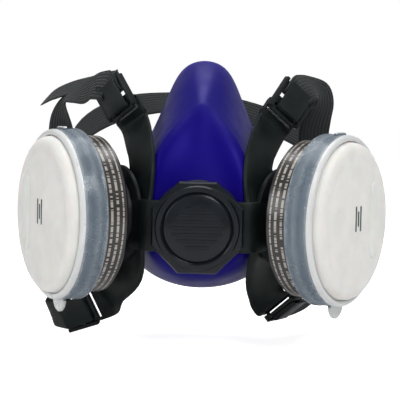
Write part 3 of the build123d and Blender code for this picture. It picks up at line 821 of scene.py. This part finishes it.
for side, side_name in ((-1, "left"), (1, "right")):
    place = cartridge_place(side)
    rings = []
    for radius, height in PAD_RINGS:
        ring = []
        for x, y, z in circle(radius, height, 160):
            angle = atan2(y, x)
            if radius > 40.9 and height < -3.0:
                waves = [size * sin(count * angle + phase) for count, size, phase in SKIRT_WAVES]
                z -= 0.25 + sum(waves) * 0.4
            ring.append((x, y, z))
        rings.append(ring)
    pad = skin(side_name + "_felt_prefilter", rings, closed=True)
    centre = skin("centre", [circle(0.9, 2.5, 32), circle(0.9, 5.3, 32)], capped=True)
    cut(pad, centre, "UNION")
    pad.data.transform(place)
    smooth(pad, 50)
    pad.data.materials.append(felt)
    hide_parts(side_name + "_prefilter_pad")
    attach(pad, side_name + "_pad")

    stadium = pill("pressed_bar", 40.0, 9.0, 0.9, (0, 0, 4.6), radians(90))
    stadium.data.transform(Matrix.Translation(Vector((20.0 if side > 0 else -20.0, 0, 0)) * MM))
    marks = [pill("mark", length, 1.7, 0.12, (across, 1.5, 5.22), radians(90))
             for length, across in ((13.0, -2.7), (8.0, 0.0), (13.0, 2.7))]
    stadium.data.transform(place)
    smooth(stadium, 60)
    stadium.name = side_name + "_pressed_bar"
    stadium.data.materials.append(felt)
    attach(stadium, side_name + "_pad")
    mark = joined(side_name + "_plain_mark", marks)
    mark.data.transform(place)
    mark.data.materials.append(grey_ink)
    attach(mark, side_name + "_pad")

    retainer_profile = [
        (42.1, -14.0), (42.1, -2.6), (41.7, -1.7), (40.9, -1.5), (40.5, -1.2), (40.45, -0.5), (40.8, -0.1),
        (41.7, 0.0), (42.6, -0.3), (43.2, -1.0), (43.5, -2.2), (43.5, -12.0), (43.9, -12.4), (43.9, -13.6),
        (43.5, -14.0),
    ]
    retainer = turned("ring_part", retainer_profile, 160)
    tab_rings = []
    arc = [pi + pi * step / 24 for step in range(25)]
    for inset, level in ((0.4, -7.0), (0.0, -6.6), (0.0, -5.6), (0.4, -5.2)):
        reach = TAB_R - inset
        tab_rings.append([(reach * cos(turn), TAB_CENTRE_Y + reach * sin(turn), level) for turn in arc])
    tab = skin("tab", tab_rings, capped=True)
    nib = pill("nib", 12.0, 3.6, 1.6, (0, 43.0, -6.9))
    retainer = joined(side_name + "_clear_retainer", [retainer, tab, nib])
    middles = [polygon.center / MM for polygon in retainer.data.polygons]
    front = [middle.z > LIP_LOW or middle.xy.length > TAB_START_R for middle in middles]
    wrapped(retainer, "wrap", -14.0, 0.0)
    retainer.data.transform(place)
    smooth(retainer, 45)
    retainer.data.materials.append(frosted)
    retainer.data.materials.append(clear_lip)
    for polygon, is_front in zip(retainer.data.polygons, front):
        polygon.material_index = int(is_front)
    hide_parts(side_name + "_filter_retainer")
    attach(retainer, side_name + "_retainer")


# Slide buckles ---------------------------------------------------------------------------
# A black acetal buckle at each arm: a bar through the arm's slot, two posts, a ladder
# frame with thick side rails, and a raised cover plate over the webbing.
def bevelled_box(name, low, high, edge):
    """A box between two corners in mm, with rounded edges."""
    bpy.ops.object.select_all(action="DESELECT")
    bpy.ops.mesh.primitive_cube_add(size=1)
    piece = bpy.context.object
    piece.name = name
    size = Vector(high) - Vector(low)
    piece.data.transform(Matrix.Diagonal((*(size * MM), 1)))
    piece.data.transform(Matrix.Translation((Vector(high) + Vector(low)) / 2 * MM))
    modifier(piece, "BEVEL", width=edge * MM, segments=2)
    return piece


acetal, tree, shader = material("black_acetal", (0.008, 0.011, 0.012), 0.42, Specular_IOR_Level=0.25)
grain = moulded(acetal, tree, shader, 0.3, 0.46, 0.2, 1600.0)
shades = ramp(tree, [(0.35, (0.006, 0.009, 0.0095)), (0.7, (0.013, 0.018, 0.019))])
tree.links.new(grain.outputs["Mottle"], shades.inputs["Fac"])
tree.links.new(shades.outputs["Color"], shader.inputs["Base Color"])
for corner in ARM_ENDS:
    parts_of_buckle = [
        bevelled_box("rail", (-11.0, -1.2, 1.9), (-8.9, 17.4, 5.6), 0.45),
        bevelled_box("rail", (8.9, -1.2, 1.9), (11.0, 17.4, 5.6), 0.45),
        bevelled_box("cover_plate", (-7.6, 0.6, 6.1), (7.6, 16.6, 7.3), 0.5),
        bevelled_box("plate_root", (-7.4, 0.0, 4.6), (7.4, 2.6, 6.6), 0.4),
        bevelled_box("lip", (-9.2, -2.4, 2.8), (9.2, 0.8, 4.7), 0.4),
        bevelled_box("near_bar", (-9.2, 2.4, 2.75), (9.2, 6.4, 4.65), 0.4),
        bevelled_box("far_bar", (-9.2, 11.1, 2.75), (9.2, 15.9, 4.65), 0.4),
        bevelled_box("post", (-8.8, -1.1, -0.6), (-7.2, 1.1, 3.2), 0.3),
        bevelled_box("post", (7.2, -1.1, -0.6), (8.8, 1.1, 3.2), 0.3),
    ]
    bar = skin("bar", [circle(1.1, -8.8, 24), circle(1.1, 8.8, 24)], capped=True)
    bar.data.transform(Matrix.Rotation(pi / 2, 4, "Y"))
    clasp = joined(corner + "_slide_buckle", parts_of_buckle + [bar])
    clasp.data.transform(metres(buckle_place(corner)))
    smooth(clasp, 30)
    clasp.data.materials.append(acetal)
    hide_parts(corner + "_buckle")
    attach(clasp, corner + "_buckle")


# Webbing -----------------------------------------------------------------------------------
# Black woven elastic, 17 mm wide, ribbed along its length. Each strap is doubled round
# the far bar of a buckle at both ends; it is built as two halves that meet behind.
WEB_WIDTH, WEB_THICK = 17.0, 1.4
RIBS = 9
RIB_POINTS = 6


def web_profile():
    """The webbing's section: a row of shallow ribs on both faces."""
    half = WEB_WIDTH / 2
    count = RIBS * RIB_POINTS
    top = []
    for step in range(count + 1):
        across = half - WEB_WIDTH * step / count
        rib = abs(cos(pi * RIBS * step / count))
        edge = min(1.0, (half - abs(across)) / 0.5)
        top.append((across, (WEB_THICK / 2 - 0.26 * (1 - rib)) * (0.35 + 0.65 * edge)))
    return top + [(-u, -v) for u, v in top]


elastic, tree, shader = material("black_elastic", (0.008, 0.010, 0.011), 0.8, Sheen_Weight=0.08,
                                 Sheen_Roughness=0.4)
weave_map = tree.nodes.new("ShaderNodeUVMap")
weave_map.uv_map = "weave"
weave_axes = tree.nodes.new("ShaderNodeSeparateXYZ")
tree.links.new(weave_map.outputs["UV"], weave_axes.inputs["Vector"])
along_thread = maths(tree, "SINE", maths(tree, "MULTIPLY", weave_axes.outputs["X"], 2 * pi / 0.55), 0.0)
across_thread = maths(tree, "SINE", maths(tree, "MULTIPLY", weave_axes.outputs["Y"], 2 * pi * 24), 0.0)
thread = maths(tree, "MULTIPLY", along_thread, across_thread)
thread_bump = tree.nodes.new("ShaderNodeBump")
thread_bump.inputs["Strength"].default_value = 0.5
thread_bump.inputs["Distance"].default_value = 0.00025
tree.links.new(thread, thread_bump.inputs["Height"])
tree.links.new(thread_bump.outputs["Normal"], shader.inputs["Normal"])
# Colour lighter on the rib tops and darker in the grooves between them: painted highlight and painted
# shade. The finer weave term adds a thread-by-thread tone of its own.
weave_and_rib_light = ramp(tree, [(0.0, (0.003, 0.004, 0.0045)), (0.6, (0.012, 0.016, 0.017)),
                      (1.0, (0.050, 0.058, 0.060))])
rib_turn = maths(tree, "MULTIPLY", weave_axes.outputs["Y"], pi * RIBS)
painted_rib_light = maths(tree, "ABSOLUTE", maths(tree, "COSINE", rib_turn, 0.0), 0.0)
tree.links.new(maths(tree, "ADD", maths(tree, "MULTIPLY", thread, 0.3), maths(tree, "MULTIPLY", painted_rib_light, 0.7)),
               weave_and_rib_light.inputs["Fac"])
tree.links.new(weave_and_rib_light.outputs["Color"], shader.inputs["Base Color"])

STRAP_LEVEL = 5.75
TAIL_LEVEL = 1.65


def buckle_turn(corner):
    """Stations of the webbing from its short tail round the far bar and off the buckle."""
    place = buckle_place(corner)
    across = tuple(place.to_3x3() @ Vector((1, 0, 0)))
    middle = (STRAP_LEVEL + TAIL_LEVEL) / 2
    track = [(17.0, TAIL_LEVEL), (13.0, TAIL_LEVEL), (11.0, TAIL_LEVEL + 0.1), (9.9, TAIL_LEVEL + 0.7),
             (9.5, middle), (9.9, STRAP_LEVEL - 0.75), (11.2, STRAP_LEVEL - 0.15), (14.0, STRAP_LEVEL),
             (16.4, STRAP_LEVEL - 0.2)]
    return [(tuple(place @ Vector((0, along, up))), across) for along, up in track]


def aligned(stations):
    """Keeps each across direction on the same side as the one before."""
    kept = [stations[0]]
    for point, across in stations[1:]:
        level = Vector(across)
        if level.dot(Vector(kept[-1][1])) < 0:
            level = -level
        kept.append((point, tuple(level)))
    return kept


def strap_half(name, corner, tail, route, nodes):
    """Half a strap: from its tail in a buckle to the middle of the strap behind the mask."""
    stations = aligned(tail + buckle_turn(corner) + route)
    profile = web_profile()
    rings = ribbon_rings(stations, profile, 6)
    for index in range(len(TIP_SHARES) if tail else 0):
        middle = sum((Vector(point) for point in rings[index]), Vector()) / len(profile)
        rings[index] = [tuple(middle.lerp(Vector(point), TIP_SHARES[index])) for point in rings[index]]
    half = skin(name, rings, capped=True)
    lengths = [0.0]
    for first, second in zip(rings, rings[1:]):
        middle_first = sum((Vector(point) for point in first), Vector()) / len(first)
        middle_second = sum((Vector(point) for point in second), Vector()) / len(second)
        lengths.append(lengths[-1] + (middle_second - middle_first).length)
    layer = half.data.uv_layers.new(name="weave")
    columns = len(profile)
    for polygon in half.data.polygons:
        for loop, index in zip(polygon.loop_indices, polygon.vertices):
            line, column = divmod(index, columns)
            layer.data[loop].uv = (lengths[line], (column % (columns // 2)) / (columns // 2))
    smooth(half, 50)
    half.data.materials.append(elastic)
    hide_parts(*nodes)
    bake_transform(half)
    return half


TIP_SHARES = [0.12, 0.3, 0.5, 0.68, 0.82, 0.93]
LOOSE_TAIL = [
    ((-91, -2, 33.5), (0.25, 0.85, 0.45)), ((-84, -1, 39), (0.25, 0.85, 0.45)),
    ((-75.5, 0, 43), (0.3, 0.8, 0.5)), ((-65, -3, 45), (0.4, 0.6, 0.6)),
    ((-57, -10, 46), (0.55, 0.2, 0.75)),
]
HEAD_LEFT = [
    ((-58.5, -20, 44.5), (0.30, 0.35, 0.85)), ((-64.1, -15, 41.2), (0.12, 0.62, 0.78)),
    ((-70.9, -13, 39.2), (0.1, 0.85, 0.45)), ((-75.6, -12, 37), (-0.2, 0.97, 0.15)),
    ((-77.8, -10, 30), (-0.6, 0.8, 0)), ((-78.5, -7, 21), (-0.85, 0.5, 0.1)),
    ((-78, -2, 8), (-0.95, 0.3, 0.1)), ((-73, 8, -10), (-0.85, 0.1, -0.5)),
    ((-63, 24, -24), (-0.4, 0.1, -0.9)), ((-42, 37, -32), (-0.1, 0.1, -1)),
    ((-15, 45, -36), (0, 0, -1)), ((0, 46, -36.5), (0, 0, -1)),
]
HEAD_RIGHT = [
    ((57.5, -19.5, 46.0), (-0.35, 0.55, 0.75)), ((62.6, -13.8, 42.4), (0.55, 0.72, 0.42)),
    ((63.6, -9.2, 36.2), (0.85, 0.5, 0.2)), ((61.5, -6.5, 28.6), (0.95, 0.3, 0)),
    ((60.5, -3.5, 19), (0.98, 0.2, 0)),
    ((63, 3, 5), (0.9, 0.3, -0.2)), ((66, 12, -10), (0.8, 0.2, -0.5)), ((58, 25, -24), (0.4, 0.1, -0.9)),
    ((41, 37, -32), (0.1, 0.1, -1)), ((15, 45, -36), (0, 0, -1)), ((0, 46, -36.5), (0, 0, -1)),
]
NECK_LEFT = [
    ((-81.0, -18, -80), (0.2, 0.55, -0.8)), ((-81.5, -8, -76), (0.2, 0.7, -0.7)),
    ((-84, 3, -68), (0.2, 0.77, -0.6)),
    ((-88, 18, -48), (0.1, 0.95, -0.3)), ((-87, 26, -24), (0, 1, -0.2)),
    ((-82, 30, 2), (-0.1, 1, 0)), ((-69, 34, 22), (-0.5, 0.65, 0.5)), ((-47, 37, 33.5), (-0.3, 0.6, 0.75)),
    ((-20, 39, 37.5), (0, 0.75, 0.66)), ((-6, 39.2, 37.2), (0.05, 0.72, 0.68)),
]
NECK_RIGHT = [
    ((57.5, -0.5, -74.5), (-0.6, 0.35, -0.62)), ((65, 6, -71), (-0.5, 0.5, -0.6)),
    ((76, 14, -62), (-0.2, 0.9, -0.35)), ((84, 22, -46), (0.1, 0.95, -0.3)),
    ((84, 27, -22), (0.1, 1, -0.1)), ((77, 31, 0), (0.3, 0.95, 0)), ((60, 36, 16), (0.5, 0.65, 0.55)),
    ((36, 38, 28), (0.25, 0.6, 0.75)), ((8, 39, 36), (0.1, 0.7, 0.7)),
    ((-6, 39.2, 37.2), (0.05, 0.72, 0.68)),
]
strap_half("left_head_webbing", "upper_left", LOOSE_TAIL, HEAD_LEFT,
           ["head_strap", "upper_left_strap_end"])
strap_half("right_head_webbing", "upper_right", [], HEAD_RIGHT,
           ["head_strap", "upper_right_strap_end"])
strap_half("left_neck_webbing", "lower_left", [], NECK_LEFT,
           ["neck_strap", "lower_left_strap_end"])
strap_half("right_neck_webbing", "lower_right", [], NECK_RIGHT,
           ["neck_strap", "lower_right_strap_end"])
